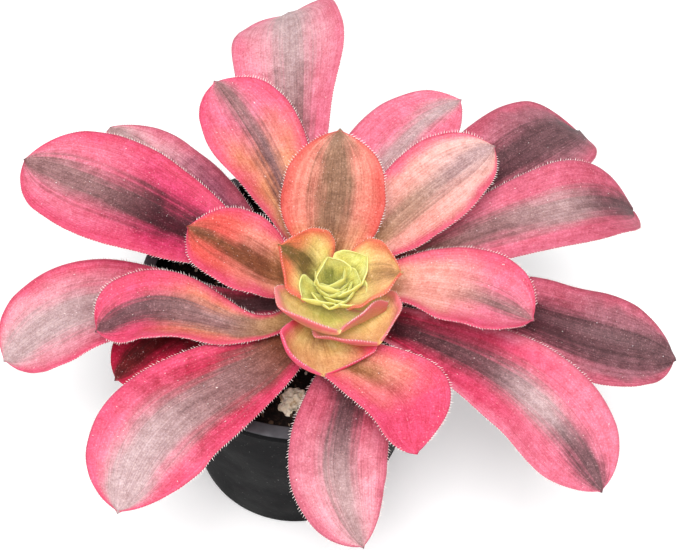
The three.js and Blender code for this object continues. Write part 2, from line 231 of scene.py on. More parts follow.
# %% Plain mesh pieces
def mesh_piece(name, points, faces, material=None, smooth=True, attributes=None):
    mesh = bpy.data.meshes.new(name)
    points = np.asarray(points, float) * MM
    volume = 0.0
    for face in faces:
        a = points[face[0]]
        for k in range(1, len(face) - 1):
            volume += float(np.dot(a, np.cross(points[face[k]], points[face[k + 1]])))
    if volume < 0:
        faces = [tuple(reversed(face)) for face in faces]
    mesh.from_pydata(points.tolist(), [], [tuple(map(int, face)) for face in faces])
    mesh.polygons.foreach_set("use_smooth", [smooth] * len(mesh.polygons))
    for title, values in (attributes or {}).items():
        kind = "FLOAT_VECTOR" if np.ndim(values) == 2 else "FLOAT"
        layer = mesh.attributes.new(title, kind, "POINT")
        layer.data.foreach_set("vector" if kind == "FLOAT_VECTOR" else "value", np.ravel(values))
    if material:
        mesh.materials.append(material)
    piece = bpy.data.objects.new(name, mesh)
    show(piece)
    return piece


def ring_faces(rings, count):
    """Faces between rings of equal length, with a middle point closing each end"""
    faces = []
    for r in range(rings - 1):
        for k in range(count):
            n = (k + 1) % count
            faces.append((r * count + k, r * count + n, (r + 1) * count + n, (r + 1) * count + k))
    first, last = rings * count, rings * count + 1
    for k in range(count):
        n = (k + 1) % count
        faces.append((first, n, k))
        faces.append((last, (rings - 1) * count + k, (rings - 1) * count + n))
    return faces


def dress(piece, slot, *nodes):
    """Seats a finished piece on the frame"""
    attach(piece, "root")
    if nodes:
        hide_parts(*nodes)


def unit(v):
    return v / np.maximum(np.linalg.norm(v, axis=-1, keepdims=True), 1e-9)


def smooth(x, low, high):
    t = np.clip((np.asarray(x, float) - low) / (high - low), 0, 1)
    return t * t * (3 - 2 * t)


print("mesh helpers ready")

# %% [markdown]
# What repeats on this plant grows by rule: hairs along the leaf margins, crumbs on the soil,
# leaves round the heart, holes in the pot's foot. Each rule is a geometry tree with named inputs.
# The tree is run once, with its count or its seed, its result is kept as a plain mesh, and its
# modifier is taken off.

# %% Running a geometry tree
SOCKET_KINDS = {int: "NodeSocketInt", float: "NodeSocketFloat", tuple: "NodeSocketVector"}


def start_tree(name, **inputs):
    """A geometry tree with these named inputs, its steps, and the sockets that give them"""
    tree = bpy.data.node_groups.new(name, "GeometryNodeTree")
    tree.interface.new_socket("Geometry", in_out="INPUT", socket_type="NodeSocketGeometry")
    tree.interface.new_socket("Geometry", in_out="OUTPUT", socket_type="NodeSocketGeometry")
    for title, value in inputs.items():
        kind = SOCKET_KINDS[type(value)]
        title = title.replace("_", " ")
        socket = tree.interface.new_socket(title, in_out="INPUT", socket_type=kind)
        socket.default_value = value
    steps = Steps(tree)
    given = steps.add("NodeGroupInput").outputs
    return tree, steps, given


def end_tree(steps, geometry, material, smooth_faces=True):
    """Ends a tree with real points in one material"""
    real = steps.add("GeometryNodeRealizeInstances", {0: geometry}).outputs[0]
    shaded = steps.add("GeometryNodeSetShadeSmooth", {0: real, 2: smooth_faces}).outputs[0]
    coated = steps.add("GeometryNodeSetMaterial", {0: shaded, "Material": material}).outputs[0]
    steps.add("NodeGroupOutput", {0: coated})


def run_tree(name, tree, source, **values):
    """Runs a tree with these values on an object, and gives the result as a plain mesh object"""
    modifier = source.modifiers.new("rule", "NODES")
    modifier.node_group = tree
    for item in tree.interface.items_tree:
        title = item.name.replace(" ", "_")
        if item.in_out == "INPUT" and title in values:
            modifier[item.identifier] = values[title]
    depsgraph = bpy.context.evaluated_depsgraph_get()
    evaluated = source.evaluated_get(depsgraph)
    mesh = bpy.data.meshes.new_from_object(evaluated, preserve_all_data_layers=True,
                                           depsgraph=depsgraph)
    source.modifiers.remove(modifier)
    old = source.data
    bpy.data.objects.remove(source)
    bpy.data.meshes.remove(old)
    mesh.name = name
    piece = bpy.data.objects.new(name, mesh)
    show(piece)
    print(name, "has", len(mesh.polygons), "faces")
    return piece


print("tree helpers ready")

# %% [markdown]
# An aeonium leaf is a fleshy channel-shaped blade. Its midrib leaves the stem, arches and bows,
# and may roll under before the tip. Young leaves are egg-shaped, old ones spoon-shaped.
# The same few values as in the solids drive the fine blade, so it keeps their form.

# %% The leaves, youngest first, in millimetres and degrees
STEM_PATH = np.array([[0, 0, 50], [0, 0, 98], [6, -8, 103], [9, -16, 116.5]], float)
YOUNGEST_LEAF_HEIGHT = 114.5
LEAF_SPACING = 1.0
LEAF_ROOT_DEPTH = 3.0
ROOT_THICKNESS = 2.6
TIP_THICKNESS = 1.0
MARGIN_THICKNESS = 0.8
ROOT_CUP = 38
FLAT_ROOT_CUP = 18
FLAT_ROOTED = (4, 10)
OLDEST_EGG_SHAPED = 4
YOUNGEST_SPOON_SHAPED = 13
YOUNG_OUTLINE = [(0, 0.42), (0.12, 0.43), (0.3, 0.7), (0.45, 0.94), (0.58, 1), (0.73, 0.91),
                 (0.85, 0.69), (0.925, 0.44), (0.97, 0.22), (1, 0.03)]
OLD_OUTLINE = [(0, 0.27), (0.12, 0.24), (0.3, 0.38), (0.5, 0.7), (0.65, 0.92), (0.77, 1),
               (0.87, 0.9), (0.93, 0.7), (0.97, 0.44), (0.99, 0.22), (1, 0.04)]
LEAVES = [
    dict(tip=(-6, -12, 131), width=22, arch=2, sway=0, cup=38, roll=-10, spoon=-0.3),
    dict(tip=(27, -17, 131), width=22, arch=2, cup=38, roll=10),
    dict(tip=(12, -35, 127), width=35, arch=-1, sway=-2, cup=50, roll=-13),
    dict(tip=(23, -34, 122), width=28, arch=-1, cup=42),
    dict(tip=(9, -41, 114), width=31, arch=0, sway=-2, cup=58, roll=-19, spoon=1.4),
    dict(tip=(7, 19, 145), width=30, arch=3, cup=25),
    dict(tip=(-32, -7, 129), width=27, arch=4, sway=3, cup=22),
    dict(tip=(65, -20, 119), width=28, arch=5, sway=4, cup=36, spoon=0.7),
    dict(tip=(51, 26, 137), width=29, arch=4, sway=1, cup=20),
    dict(tip=(-55, -31, 109), width=23, arch=5, sway=6, wave=6, cup=30, spoon=1.2),
    dict(tip=(35, -61, 113), width=26, arch=3, sway=-1.5, wave=-6, cup=20, spoon=0.4, square=1),
    dict(tip=(-31, 41, 137), width=29, arch=5, sway=-3, cup=15),
    dict(tip=(42, 51, 129), width=28, arch=5, sway=7, cup=15, spoon=0.3),
    dict(tip=(-84, 17, 122), width=39, arch=6, sway=1, cup=15, spoon=0.7),
    dict(tip=(-40, -82, 105), width=34, arch=6, wave=5, cup=12, spoon=0.6),
    dict(tip=(97, 26, 115), width=30, arch=6, sway=-2, curl=14, cup=15),
    dict(tip=(88, -58, 95), width=33, arch=7, sway=8, wave=-2, cup=15, spoon=0.7),
    dict(tip=(-14, 86, 125), width=36, arch=6, sway=2.5, curl=13, cup=25, roll=-20),
    dict(tip=(82, 58, 113), width=34, arch=6, sway=-2, curl=12, cup=10),
    dict(tip=(24, -78, 88), width=28, arch=7, sway=2, wave=5, cup=2, spoon=0.4),
    dict(tip=(-85, -30, 86), width=33, arch=11, sway=-3, wave=4, cup=15),
    dict(tip=(-68, 53, 99), width=30, arch=6, sway=4, cup=10, spoon=0.2),
    dict(tip=(112, -13, 95), width=33, arch=6, sway=5, wave=3, cup=5),
    dict(tip=(-51, -35, 90), width=24, arch=10, sway=-3, cup=5),
]


def outline(points, x):
    """Smooth line through a few points, flat at its peaks"""
    xs, ys = np.array(points, float).T
    steps = np.diff(xs)
    slopes = np.diff(ys) / steps
    lean = np.concatenate([slopes[:1], np.zeros(len(xs) - 2), slopes[-1:]])
    for i in range(1, len(xs) - 1):
        before, after = slopes[i - 1], slopes[i]
        lean[i] = 0 if before * after <= 0 else 2 * before * after / (before + after)
    i = np.clip(np.searchsorted(xs, x, side="right") - 1, 0, len(xs) - 2)
    t = (x - xs[i]) / steps[i]
    start = (1 + 2 * t) * (1 - t) ** 2 * ys[i] + t * (1 - t) ** 2 * steps[i] * lean[i]
    return start + t * t * (3 - 2 * t) * ys[i + 1] + t * t * (t - 1) * steps[i] * lean[i + 1]


def stem_line(t):
    t = np.atleast_1d(t)[:, None]
    a, b, c, d = STEM_PATH
    return a * (1 - t) ** 3 + 3 * b * t * (1 - t) ** 2 + 3 * c * t * t * (1 - t) + d * t ** 3


def leaf_root(order, tip):
    """The place inside the stem where a leaf starts"""
    line = stem_line(np.linspace(0, 1, 2001))
    height = YOUNGEST_LEAF_HEIGHT - order * LEAF_SPACING
    axis = np.array([np.interp(height, line[:, 2], line[:, k]) for k in range(3)])
    out = np.array([tip[0] - axis[0], tip[1] - axis[1], 0])
    return axis + LEAF_ROOT_DEPTH * unit(out)


# Two leaves lie flatter where they pass under the cups of younger ones.
for order in FLAT_ROOTED:
    LEAVES[order]["root_cup"] = FLAT_ROOT_CUP
for order, leaf in enumerate(LEAVES):
    leaf["root"] = leaf_root(order, leaf["tip"])
    egg_to_spoon = (order - OLDEST_EGG_SHAPED) / (YOUNGEST_SPOON_SHAPED - OLDEST_EGG_SHAPED)
    leaf["age"] = leaf.get("spoon", min(max(egg_to_spoon, 0), 1))
first, last = LEAVES[0]["root"], LEAVES[-1]["root"]
print(len(LEAVES), "leaves, roots from", first.round(1), "to", last.round(1))

# %% [markdown]
# A live margin is never a clean curve. It ripples a little, the midrib sinks into a faint
# groove, and the flesh swells unevenly. These small waves go on both faces alike, so the blade
# keeps its thickness, and the margin is rounded over like real flesh.

# %% The fine blade of a leaf
RIPPLE, SLOW_RIPPLES, QUICK_RIPPLES = 0.55, 1.6, 3.7
GROOVE, GROOVE_BREADTH = 0.5, 0.16
SWELL = 0.3
TIP_POINT = 0.9
CUP_CHANGES = (0.05, 0.6)
WAVES_GROW = (0.25, 0.5)
MARGIN_BULGE = 0.42
LEAST_BREADTH = 0.4
HAIR_ROOT_DEPTH, HAIR_SLANT = 0.25, 0.55


def midrib(leaf, shares):
    """Places and directions along the midrib at even shares of its length"""
    root, tip = np.array(leaf["root"], float), np.array(leaf["tip"], float)
    chord = tip - root
    left = unit(np.cross([0, 0, 1.0], chord))
    above = unit(np.cross(chord, left))
    middle = (root + tip) / 2 + 2 * leaf.get("arch", 0) * above + 2 * leaf.get("sway", 0) * left
    t = np.linspace(0, 1, 601)[:, None]
    line = root * (1 - t) ** 2 + 2 * middle * t * (1 - t) + tip * t ** 2
    line = line + above * leaf.get("curl", 0) * (t - t ** 9)
    line = line + left * leaf.get("wave", 0) * np.sin(2 * math.pi * t)
    run = np.concatenate([[0], np.cumsum(np.linalg.norm(np.diff(line, axis=0), axis=1))])
    heads = unit(np.gradient(line, axis=0))
    at = shares * run[-1]
    place = np.stack([np.interp(at, run, line[:, k]) for k in range(3)], -1)
    ahead = unit(np.stack([np.interp(at, run, heads[:, k]) for k in range(3)], -1))
    square = leaf.get("square", 0)
    ahead = unit((1 - square) * ahead + square * unit(chord))
    return place, ahead


def blade(leaf, seed, rows=64, columns=26, thin=1.0, lively=1.0):
    """Points, faces and traits of a closed blade, and its two margins with their directions"""
    q = np.linspace(0, 1, rows + 1)
    s = 0.4 * q + 0.6 * (1 - (1 - q) ** 2)    # the rows lie closer together towards the tip
    place, ahead = midrib(leaf, s)
    left = unit(np.cross([0, 0, 1.0], ahead))
    turn = math.radians(leaf.get("roll", 0))
    left = math.cos(turn) * left + math.sin(turn) * np.cross(ahead, left)
    above = np.cross(ahead, left)
    shape = (1 - leaf["age"]) * outline(YOUNG_OUTLINE, s) + leaf["age"] * outline(OLD_OUTLINE, s)
    half = (leaf["width"] / 2 * shape)[:, None]
    root_cup = leaf.get("root_cup", ROOT_CUP)
    bend = np.radians(root_cup + (leaf["cup"] - root_cup) * smooth(s, *CUP_CHANGES))[:, None]
    rib = (thin * (ROOT_THICKNESS + (TIP_THICKNESS - ROOT_THICKNESS) * s))[:, None]
    u = np.linspace(-1, 1, columns + 1)[None, :]
    sideways = half * np.sin(bend * u) / bend
    lift = half * (1 - np.cos(bend * u)) / bend
    out = np.cos(bend * u)[..., None] * above[:, None]
    out = out - np.sin(bend * u)[..., None] * left[:, None]
    upper = place[:, None] + sideways[..., None] * left[:, None] + lift[..., None] * above[:, None]
    side = np.sign(u)
    phase = 1.7 * seed + 2.1 * side
    waves = np.sin(2 * math.pi * SLOW_RIPPLES * s[:, None] + phase)
    waves = waves + 0.6 * np.sin(2 * math.pi * QUICK_RIPPLES * s[:, None] + 2 * phase)
    grown = smooth(s, *WAVES_GROW)[:, None]
    move = RIPPLE * np.abs(u) ** 2.4 * grown * waves * (1 - smooth(s, 0.9, 1))[:, None]
    fading = (1 - smooth(s, 0.8, 0.98))[:, None]
    move = move - GROOVE * np.exp(-(u / GROOVE_BREADTH) ** 2) * grown * fading
    move = move + SWELL * grown * np.sin(3.1 * u + 9 * s[:, None] + seed)
    upper = upper + lively * move[..., None] * out
    thick = rib + (MARGIN_THICKNESS * thin - rib) * np.abs(u) ** 1.6
    lower = upper - thick[..., None] * out
    edges = []
    for column, inner in ((-1, -2), (0, 1)):
        outward = unit(upper[:, column] - upper[:, inner])
        middle = (upper[:, column] + lower[:, column]) / 2
        edges.append((middle + MARGIN_BULGE * thick[:, column, None] * outward, outward))
    (right_edge, right_out), (left_edge, left_out) = edges
    ring = np.concatenate([upper, right_edge[:, None], lower[:, ::-1], left_edge[:, None]], axis=1)
    count = ring.shape[1]
    ends = [ring[0].mean(axis=0), ring[-1].mean(axis=0) + TIP_POINT * thin * ahead[-1]]
    points = np.concatenate([ring.reshape(-1, 3), ends])
    across = np.concatenate([u[0], [1.02], u[0][::-1], [-1.02]])
    face = np.concatenate([np.ones(columns + 1), [0.5], np.zeros(columns + 1), [0.5]])
    where = np.stack([np.tile(across, rows + 1), np.repeat(s, count), np.tile(face, rows + 1)], -1)
    where = np.concatenate([where, [[0, 0, 0.5], [0, 1, 0.5]]])
    breadth = LEAST_BREADTH + (1 - LEAST_BREADTH) * shape
    breadth = np.concatenate([np.repeat(breadth, count), [breadth[0], LEAST_BREADTH]])
    traits = {"leaf_place": where, "leaf_breadth": breadth}
    margins = []
    for edge, outward in ((right_edge, right_out), (left_edge, left_out)):
        forward = unit(np.gradient(edge, axis=0))
        lean = unit(outward + HAIR_SLANT * forward)
        margins.append((s, edge - HAIR_ROOT_DEPTH * outward, lean))
    return points, ring_faces(rows + 1, count), traits, margins


lengths = [float(np.linalg.norm(leaf["root"] - leaf["tip"])) for leaf in LEAVES]
print("leaves from", round(min(lengths)), "to", round(max(lengths)), "mm long")

# %% [markdown]
# The skin of this aeonium is painted by its own growth. A grey or olive stripe follows the
# midrib in fine strands, the flesh beside it goes from peach near the heart to hot pink outside,
# and the margin is flushed red. Each leaf has its own mixture, so each gets its own material
# from one recipe: colours from root to tip for the stripe and for the flesh, and a flush.

# %% Colours of the leaves
PAINT = {
    "pale lime": "#eef09a", "lime": "#e4dc78", "cream": "#f7de92", "peach": "#f3bd88",
    "sand": "#cda272", "apricot": "#ee9c74", "orange": "#ea7c5e", "coral": "#ee6660",
    "salmon": "#f69a8a", "pale blush": "#fbc2b9", "blush": "#f7ada2", "pale pink": "#f4a4b1",
    "pink": "#f4829a", "hot pink": "#ef5c7d", "deep pink": "#dc4a70", "rose": "#d86a80",
    "faded rose": "#b97884", "dusky rose": "#b2657a", "crimson": "#c2354f", "maroon": "#66222f",
    "plum": "#54373c", "dusk": "#7a5a5e", "mauve": "#a07a7a", "lilac": "#c29f9f",
    "pale lilac": "#ceb0b1", "grey tan": "#bd9480", "dusky tan": "#a07c66", "tan": "#b4835f",
    "brown": "#8a5843", "olive": "#75593a", "green": "#9a9c52",
}
# These are colours as a lit leaf shows them. The light adds this share, and the gloss this much.
LIGHT_GAIN = 1.24
GLOSS_VEIL = 0.03
# Each look has the colours of the stripe and of the flesh at the root, the middle and the tip,
# and a fourth one where a stripe darkens again at its end. Then come the half breadth of the
# stripe at those three places, the colour of the margin and how far it comes in.
# The dark maroon and plum roots of the outer leaves are partly their own colour and partly painted
# shade from the leaves above them.
LOOKS = [
    ("green olive olive", "lime cream orange", (0.24, 0.3, 0.26), "coral", 0.26),
    ("lime sand tan", "lime cream peach", (0.2, 0.26, 0.24), "coral", 0.24),
    ("lime lime cream", "pale_lime cream peach", (0.2, 0.26, 0.1), "rose", 0.24),
    ("lime cream peach", "pale_lime cream peach", (0.2, 0.2, 0.1), "rose", 0.28),
    ("cream sand peach", "cream cream peach", (0.2, 0.2, 0.1), "hot pink", 0.38),
    ("tan dusky_tan dusky_tan", "peach salmon salmon", (0.34, 0.38, 0.3), "coral", 0.28),
    ("tan brown brown", "peach salmon coral", (0.36, 0.36, 0.28), "hot pink", 0.26),
    ("sand blush mauve", "peach blush pink", (0.4, 0.3, 0.24), "hot pink", 0.32),
    ("sand grey_tan lilac", "blush blush pale_blush", (0.24, 0.26, 0.28), "hot pink", 0.22),
    ("sand mauve dusk", "sand apricot hot_pink", (0.8, 0.42, 0.34), "hot pink", 0.32),
    ("sand tan hot_pink", "cream salmon hot_pink", (0.6, 0.3, 0.0), "hot pink", 0.34),
    ("brown dusk mauve", "peach apricot pink", (0.24, 0.24, 0.24), "hot pink", 0.4),
    ("mauve lilac pale_lilac", "salmon pink pink", (0.3, 0.26, 0.26), "pink", 0.3),
    ("plum plum mauve", "deep_pink deep_pink pink", (0.38, 0.38, 0.34), "hot pink", 0.25),
    ("brown mauve pale_lilac", "crimson crimson pink", (0.6, 0.46, 0.46), "hot pink", 0.3),
    ("brown mauve lilac dusk", "rose pink rose", (0.4, 0.36, 0.36), "rose", 0.3),
    ("plum dusk pale_lilac dusk", "crimson hot_pink pink", (0.42, 0.32, 0.3), "pink", 0.2),
    ("dusk mauve pale_lilac", "rose pink pale_pink", (0.34, 0.34, 0.34), "pink", 0.25),
    ("dusk plum dusk", "rose rose faded_rose", (0.42, 0.4, 0.46), "rose", 0.25),
    ("maroon dusk lilac", "maroon rose pale_pink", (0.46, 0.3, 0.28), "rose", 0.24),
    ("dusk mauve pale_lilac", "crimson rose pale_pink", (0.4, 0.42, 0.42), "hot pink", 0.25),
    ("maroon plum lilac", "maroon dusky_rose pale_pink", (0.5, 0.46, 0.44), "rose", 0.25),
    ("plum plum dusk", "dusk rose faded_rose", (0.54, 0.48, 0.46), "rose", 0.22),
    ("plum maroon maroon", "maroon maroon crimson", (0.4, 0.35, 0.3), "crimson", 0.2),
]
LEAF_STATIONS = (0.18, 0.5, 0.84)
BANDED_STATIONS = (0.18, 0.5, 0.72, 0.88)
STRIPE_EDGE, STRIPE_STRENGTH = 0.24, 0.97
# Noises that lie over every leaf alike: scale, detail and roughness
PATCHES, MOTTLE = (75.0, 3.0, 0.6), (300.0, 4.0, 0.65)
GRAIN, DUST = (1900.0, 3.0, 0.7), (1600.0, 1.0, 0.5)
# Old scars: where they are in millimetres, how wide, and in which colour
MARKS = {17: ((53, -28.4, 102), 1.4, "crimson"), 20: ((25.8, -57.9, 94.9), 1.7, "cream")}


def named(word):
    linear = color(PAINT[word.replace("_", " ")])
    return (*[max((part - GLOSS_VEIL) / LIGHT_GAIN, 0.004) for part in linear[:3]], 1.0)


def stations(words):
    words = words.split()
    places = LEAF_STATIONS if len(words) == len(LEAF_STATIONS) else BANDED_STATIONS
    return [(place, named(word)) for place, word in zip(places, words)]


def leaf_skin(name, look, seed, glow, painted_glow, under, rim_shade=0.6, rim=(0.93, 0.4), mark=None):
    """Striped, stranded and grainy skin in the leaf's own directions"""
    stripe_words, flesh_words, reach, flush_word, flush_depth = look
    material, steps, shader = start_material(name, roughness=0.5, specular=0.26)
    spot = steps.add("ShaderNodeAttribute", attribute_name="leaf_place").outputs["Vector"]
    breadth = steps.add("ShaderNodeAttribute", attribute_name="leaf_breadth").outputs["Fac"]
    body = steps.spot()
    across, along, face = steps.split(spot)
    off = steps.math("ABSOLUTE", across)

    def drawn_out(breadthwise, lengthwise, shift, detail):
        place = steps.combine(steps.times(across, breadthwise), steps.times(along, lengthwise),
                              seed + shift)
        return steps.noise(place, 1.0, detail, 0.6)

    def around_zero(value, strength):
        return steps.times(steps.minus(value, 0.5), strength)

    strands, fine_strands = drawn_out(13, 1.2, 0, 5.0), drawn_out(44, 2.6, 7, 3.0)
    wander = drawn_out(1.2, 2.6, 3, 2.0)
    patches, mottle, grain, dust = [steps.noise(body, *kind)
                                    for kind in (PATCHES, MOTTLE, GRAIN, DUST)]

    span = steps.math("ABSOLUTE", steps.plus(across, around_zero(wander, 0.5)))
    span = steps.times(span, breadth)
    span = steps.plus(span, steps.plus(around_zero(strands, 0.5), around_zero(patches, 0.3)))
    reach_here = steps.ramp(along, [(p, grey(r)) for p, r in zip(LEAF_STATIONS, reach)])
    stripe = steps.fade(steps.minus(span, reach_here), STRIPE_EDGE, -STRIPE_EDGE,
                        0.0, STRIPE_STRENGTH)
    flesh = steps.ramp(steps.plus(along, around_zero(patches, 0.3)), stations(flesh_words))
    striped = steps.mix(stripe, flesh, steps.ramp(along, stations(stripe_words)))
    uneven = steps.plus(off, around_zero(patches, 0.7))
    flush = steps.fade(uneven, 1.0 - 1.5 * flush_depth, 1.0, 0.0, 0.85)
    skin = steps.mix(flush, striped, named(flush_word))
    # Each of these lightens and darkens the skin between two greys, with its own strength.
    for value, low, high, strength in ((strands, 0.2, 0.8, 0.22), (fine_strands, 0.15, 0.85, 0.34),
                                       (mottle, 0.2, 0.8, 0.45), (grain, 0.1, 0.9, 0.4)):
        shade = steps.ramp(value, [(0.3, grey(low)), (0.7, grey(high))])
        skin = steps.mix(strength, skin, shade, "SOFT_LIGHT")
    skin = steps.mix(steps.fade(grain, 0.6, 0.74, 0.0, 0.28), skin, color("#ffdcd8"))
    skin = steps.mix(steps.fade(grain, 0.4, 0.28, 0.0, 0.4), skin, grey(0.6), "MULTIPLY")
    if mark:
        place, radius, word = mark
        away = steps.vector_math("DISTANCE", body, tuple(MM * p for p in place))
        away = steps.math("ABSOLUTE", steps.minus(steps.math("DIVIDE", away, MM), radius))
        skin = steps.mix(steps.fade(away, 0.5, 0.15, 0.0, 0.8), skin, named(word))
    rim_from, rim_share = rim
    edge = steps.fade(off, rim_from, 1.0, 0.0, rim_share)
    skin = steps.mix(edge, skin, color(PAINT[flush_word], rim_shade))
    skin = steps.mix(steps.fade(dust, 0.76, 0.8, 0.0, 0.75), skin, color("#fff2ee"))
    skin = steps.mix(steps.fade(face, 0.5, 0.0, 0.0, 0.7), skin, named(under))
    steps.connect(skin, shader.inputs["Base Color"])
    steps.connect(steps.fade(grain, 0.3, 0.7, 0.46, 0.62), shader.inputs["Roughness"])
    # A faint pale yellow emission is painted glow, which makes the young leaves look lit from
    # within.
    shader.inputs["Emission Color"].default_value = color("#f4ea9c")
    shader.inputs["Emission Strength"].default_value = painted_glow
    shader.inputs["Subsurface Weight"].default_value = glow
    shader.inputs["Subsurface Radius"].default_value = (1.0, 0.75, 0.35)
    shader.inputs["Subsurface Scale"].default_value = 0.003 * glow
    relief = steps.plus(steps.times(fine_strands, 0.5), steps.times(grain, 0.6))
    link_bump(steps, shader, relief, 0.4, 0.0003)
    return material


print(len(LOOKS), "leaf looks from", len(PAINT), "paints")

# %% [markdown]
# Now the blades are made and dressed, youngest first. Each one stands for its own solid leaf,
# and its two margins are kept as lines for the hairs.

# %% The leaves
YOUNG_LEAVES, MIDDLE_LEAVES = 5, 13
YOUNG_GLOW, OLD_GLOW = 0.8, 0.1
YOUNG_VIGOUR, OLD_VIGOUR = 0.7, 1.0
SEED_STEP = 13.7
# Leaf by leaf: how strongly it ripples, how much painted glow it gives off, its pink lips and its
# underside
LIVELY = {13: 1.4, 18: 1.6, 19: 1.7, 23: 2.2}
# Painted glow: the emission strength of the youngest leaves.
PAINTED_GLOW_BY_LEAF = {1: 0.06, 2: 0.08, 3: 0.1, 4: 0.08}
SOFT_LIP = dict(rim=(0.84, 0.7), rim_shade=1.0)
LIPS = {3: SOFT_LIP, 4: SOFT_LIP, 5: dict(rim=(0.74, 1.0), rim_shade=1.1)}
UNDER = {1: "coral", 2: "coral", 3: "crimson", 4: "crimson", 5: "hot pink"}
margin_points, margin_edges, margin_leans, margin_vigour = [], [], [], []


def keep_margin(margin, vigour, first=0.14, last=0.985):
    s, line, lean = margin
    chosen = [k for k in range(len(s)) if first < s[k] < last]
    start = len(margin_points)
    margin_points.extend(line[chosen])
    margin_leans.extend(lean[chosen])
    margin_vigour.extend(vigour for _ in chosen)
    margin_edges.extend((start + k, start + k + 1) for k in range(len(chosen) - 1))


for order, leaf in enumerate(LEAVES):
    number = order + 1
    young = number <= YOUNG_LEAVES
    points, faces, traits, margins = blade(leaf, number, lively=LIVELY.get(number, 1.0))
    skin = leaf_skin(f"leaf skin {number:02d}", LOOKS[order], order * SEED_STEP,
                     glow=YOUNG_GLOW if young else OLD_GLOW, painted_glow=PAINTED_GLOW_BY_LEAF.get(number, 0.0),
                     under=UNDER.get(number, "dusky rose"), mark=MARKS.get(number),
                     **LIPS.get(number, {}))
    piece = mesh_piece(f"aeonium_leaf_{number:02d}", points, faces, skin, attributes=traits)
    slot = "leaf_young" if young else "leaf_middle" if number <= MIDDLE_LEAVES else "leaf_old"
    dress(piece, slot, f"leaf_{number:02d}")
    for margin in margins:
        keep_margin(margin, YOUNG_VIGOUR if young else OLD_VIGOUR)
print(len(LEAVES), "leaves,", len(margin_points), "margin points")

# %% [markdown]
# The margin of every leaf carries a comb of white hairs, a little closer than one a millimetre,
# which slant towards the tip. A geometry tree follows the margin lines, stands a thin cone on
# each step, and turns it along the stored direction with a little scatter.

# %% The hairs
hair_white, steps, shader = start_material("hair white", roughness=0.5, specular=0.3)
tint = steps.ramp(steps.noise(steps.spot(), 300.0), [(0.35, "#f7d0cf"), (0.55, "#fff4ef")])
steps.connect(tint, shader.inputs["Base Color"])

tree, steps, given = start_tree("margin hairs", Spacing=0.8 * MM, Length=1.05 * MM,
                                Thickness=0.15 * MM, Scatter=0.22, Seed=0)
curves = steps.add("GeometryNodeMeshToCurve", {0: given["Geometry"]}).outputs[0]
spaced = steps.add("GeometryNodeResampleCurve", {0: curves, "Length": given["Spacing"]},
                   mode="LENGTH").outputs[0]
hair = steps.add("GeometryNodeMeshCone", {"Vertices": 5, "Radius Top": 0.02 * MM,
                 "Radius Bottom": given["Thickness"], "Depth": given["Length"]}).outputs["Mesh"]
lean, vigour = [steps.add("GeometryNodeInputNamedAttribute", {"Name": title}, data_type=kind)
                .outputs[0] for title, kind in (("lean", "FLOAT_VECTOR"), ("vigour", "FLOAT"))]
scatter = steps.random((-1, -1, -1), (1, 1, 1), given["Seed"])
direction = steps.vector_math("ADD", lean, steps.scaled(scatter, given["Scatter"]))
turned = steps.add("FunctionNodeAlignRotationToVector", {"Vector": direction}, axis="Z").outputs[0]
size = steps.random(0.55, 1.2, given["Seed"])
hairs = steps.copies(spaced, hair, Rotation=turned,
                     Scale=steps.combine(vigour, vigour, steps.times(size, vigour)))
end_tree(steps, hairs, hair_white)

lines = bpy.data.meshes.new("margin lines")
lines.from_pydata((np.array(margin_points) * MM).tolist(), margin_edges, [])
lean = lines.attributes.new("lean", "FLOAT_VECTOR", "POINT")
lean.data.foreach_set("vector", np.ravel(margin_leans))
lines.attributes.new("vigour", "FLOAT", "POINT").data.foreach_set("value", margin_vigour)
holder = bpy.data.objects.new("margin lines", lines)
show(holder)
dress(run_tree("leaf_margin_hairs", tree, holder, Seed=5), "leaf_middle")

# %% [markdown]
# The heart is a main piece that follows a rule: each new leaf stands a golden angle on from the
# last, shorter, narrower and steeper, until the last ones close over the growing point.
# The geometry tree works out place, direction and size of each from its number alone.

# %% The heart
HEART_FIRST_HEADING = 62.0
GOLDEN_ANGLE = 137.5
HEART_LONGEST, HEART_SHORTEST = 13.5, 6.5
HEART_WIDEST, HEART_NARROWEST = 15.0, 9.0
HEART_FLATTEST, HEART_STEEPEST = 40.0, 78.0
HEART_FIRST_CLIMB, HEART_CLIMB = 1.0, 2.0
HEART_STEPS, HEART_LEAVES = 10, 19
BUD_ARCH = -0.06
STEM_GAP = 0.3

# The green roots of the heart leaves are partly their own colour and partly painted shade between
# them.
HEART_LOOK = ("green green lime", "green lime pale_lime", (0.3, 0.3, 0.2), "pale lime", 0.3)
# The heart also gets a faint emission as painted glow.
heart_skin = leaf_skin("heart skin", HEART_LOOK, 3.3, glow=0.6, painted_glow=0.08, under="lime",
                       rim_shade=1.2)
stem_end = stem_line(1.0)[0]
stem_lean = unit(STEM_PATH[3] - STEM_PATH[2])
seat = stem_end + STEM_GAP * stem_lean

tree, steps, given = start_tree("heart", Leaves=11, Seat=tuple(seat * MM), Lean=tuple(stem_lean),
                                First_heading=math.radians(HEART_FIRST_HEADING),
                                Golden_angle=math.radians(GOLDEN_ANGLE),
                                Shortest=0.2, Narrowest=0.26)
number = steps.add("GeometryNodeInputIndex").outputs[0]
share = steps.math("DIVIDE", number, float(HEART_STEPS))
heading = steps.plus(given["First heading"], steps.times(number, given["Golden angle"]))
rise_change = math.radians(HEART_STEEPEST - HEART_FLATTEST)
rise = steps.plus(math.radians(HEART_FLATTEST), steps.times(share, rise_change))
out = steps.combine(steps.math("COSINE", heading), steps.math("SINE", heading))
level_part = steps.scaled(out, steps.math("COSINE", rise))
raised_part = steps.scaled(given["Lean"], steps.math("SINE", rise))
direction = steps.vector_math("ADD", level_part, raised_part)
climb = steps.plus(HEART_FIRST_CLIMB, steps.times(share, HEART_CLIMB))
